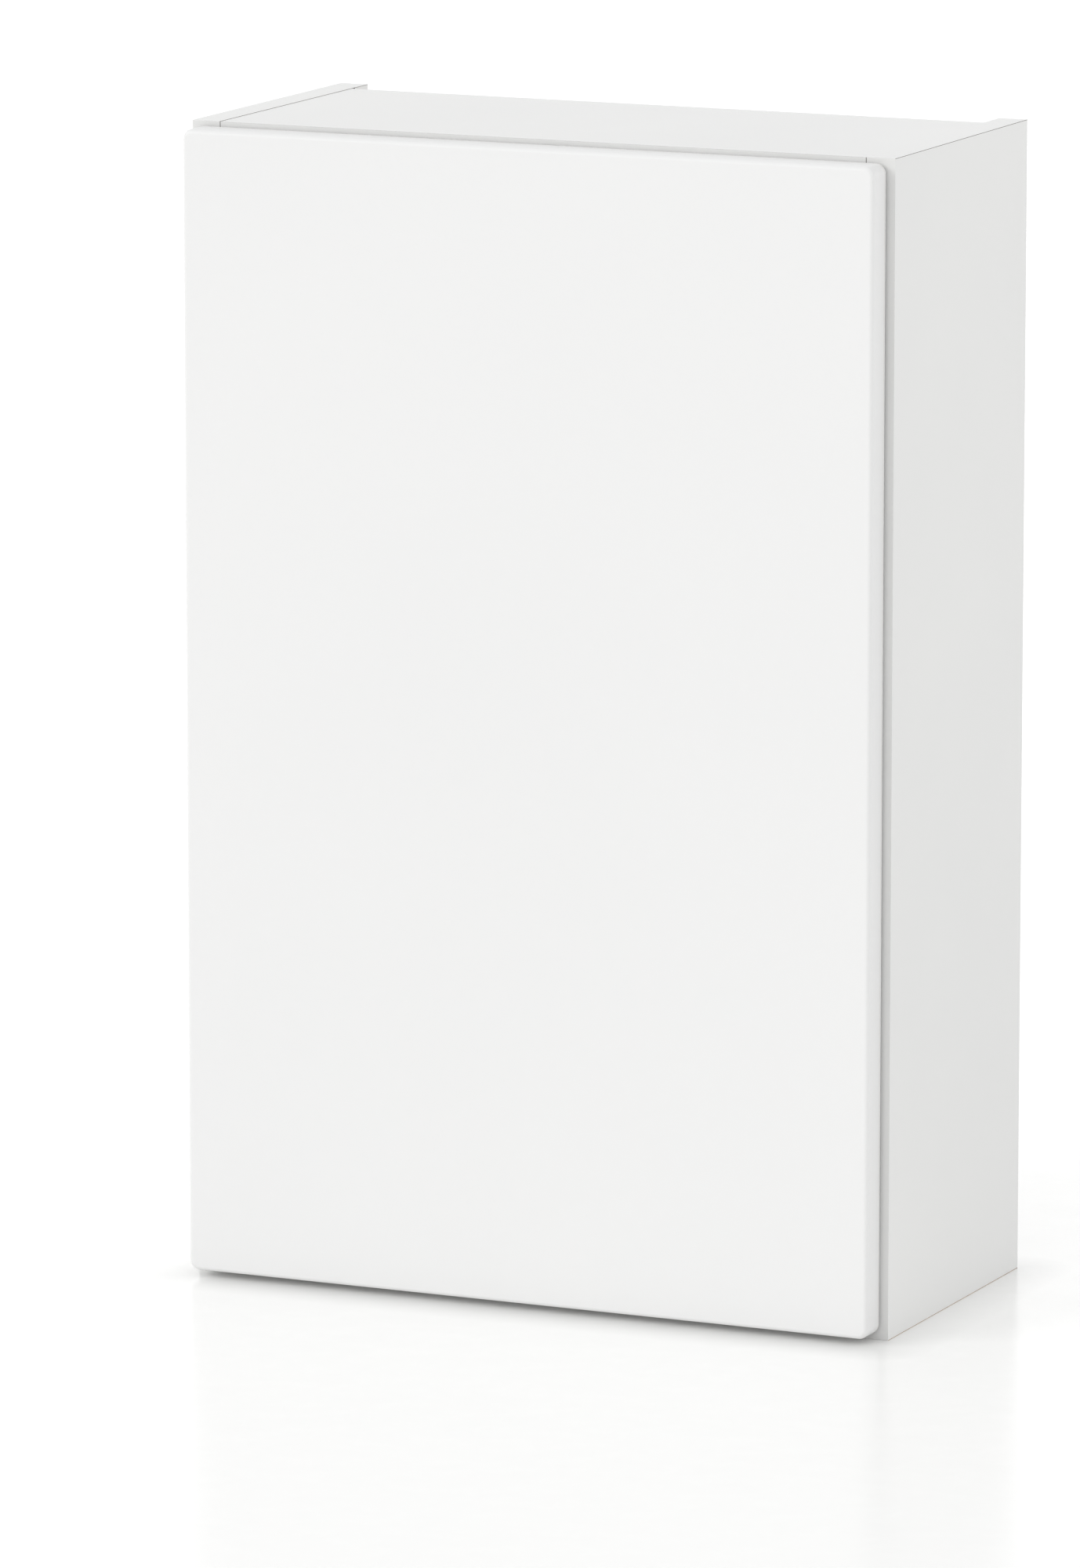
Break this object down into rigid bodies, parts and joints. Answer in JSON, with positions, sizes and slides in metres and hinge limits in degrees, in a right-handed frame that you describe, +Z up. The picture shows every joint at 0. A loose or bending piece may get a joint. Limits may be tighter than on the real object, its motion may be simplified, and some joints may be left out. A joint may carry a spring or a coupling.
{
  "type": "hanging wall cabinet",
  "caption": "Tall narrow white wall cabinet with one plain handleless door on concealed hinges, shelves inside and hanging hooks at the rear.",
  "frame": {"origin": "centre of the cabinet's width and depth, at its underside", "axes": "+X to the right seen from the front, +Y towards the wall, +Z up"},
  "size_m": [0.4, 0.2, 0.62],
  "materials": {
    "white_board": "matt white melamine on particle board",
    "back_board": "white painted hardboard",
    "door_foil": "satin white foil on fibreboard",
    "hinge_steel": "nickel-plated, satin",
    "zinc_fittings": "dull zinc",
    "screw_steel": "bright zinc-plated",
    "white_plastic": "moulded, fine grain",
    "grey_plastic": "moulded, satin",
    "magnet": "ground ferrite",
    "beech": "turned beech, fluted, raw",
    "bumper_rubber": "soft, translucent"
  },
  "bodies": {
    "carcass": {"side_panel_left": "white_board", "side_panel_right": "white_board", "top_panel": "white_board", "bottom_panel": "white_board", "back_panel": "back_board", "back_nails": "screw_steel", "cam_bolts": "zinc_fittings", "cam_locks": "zinc_fittings", "cam_caps": "white_plastic", "wood_dowels": "beech", "shelf_upper": "white_board", "shelf_lower": "white_board", "shelf_pins": "zinc_fittings", "hinge_plate_top": "hinge_steel", "hinge_plate_bottom": "hinge_steel", "plate_screws": "screw_steel", "hinge_arm_top": "hinge_steel", "hinge_arm_bottom": "hinge_steel", "arm_screws": "screw_steel", "arm_pins": "hinge_steel", "latch_housing": "white_plastic", "latch_screws": "screw_steel", "hanger_housing_left": "white_plastic", "hanger_housing_right": "white_plastic", "hanger_screws": "screw_steel", "hanger_adjusters": "screw_steel"},
    "door": {"door_panel": "door_foil", "hinge_cup_top": "hinge_steel", "hinge_cup_bottom": "hinge_steel", "cup_pins": "hinge_steel", "cup_screws": "screw_steel", "strike_plate": "hinge_steel", "strike_screw": "screw_steel", "door_bumpers": "bumper_rubber"},
    "outer_links": {"outer_link_top": "hinge_steel", "outer_link_bottom": "hinge_steel"},
    "inner_links": {"inner_link_top": "hinge_steel", "inner_link_bottom": "hinge_steel"},
    "latch_push_rod": {"latch_plunger": "grey_plastic", "latch_magnet": "magnet"},
    "hook_left": {"hanger_hook_left": "zinc_fittings"},
    "hook_right": {"hanger_hook_right": "zinc_fittings"}
  },
  "joints": [
    {"name": "outer_link_turn", "type": "hinge", "parent": "carcass", "child": "outer_links", "pos_m": [-0.1651, -0.0798, 0.3105], "axis": [0, 0, 1], "range_deg": [0, 31.5]},
    {"name": "door_swing", "type": "hinge", "parent": "outer_links", "child": "door", "pos_m": [-0.1875, -0.0875, 0.3105], "axis": [0, 0, -1], "range_deg": [0, 131.5]},
    {"name": "inner_link_turn", "type": "hinge", "parent": "door", "child": "inner_links", "pos_m": [-0.1842, -0.0922, 0.3105], "axis": [0, 0, 1], "range_deg": [0, 104.8]},
    {"name": "latch_push_rod_slide", "type": "slide", "parent": "carcass", "child": "latch_push_rod", "axis": [0, -1, 0], "range_m": [0, 0.02]},
    {"name": "hook_left_height", "type": "slide", "parent": "carcass", "child": "hook_left", "axis": [0, 0, 1], "range_m": [-0.004, 0.004]},
    {"name": "hook_right_height", "type": "slide", "parent": "carcass", "child": "hook_right", "axis": [0, 0, 1], "range_m": [-0.004, 0.004]}
  ],
  "couplings": [
    {"joint": "outer_link_turn", "follows": "door_swing", "ratio": 0.2395},
    {"joint": "inner_link_turn", "follows": "door_swing", "ratio": 0.7962},
    {"joint": "latch_push_rod_slide", "follows": "door_swing", "m_per_rad": 0.0087}
  ]
}
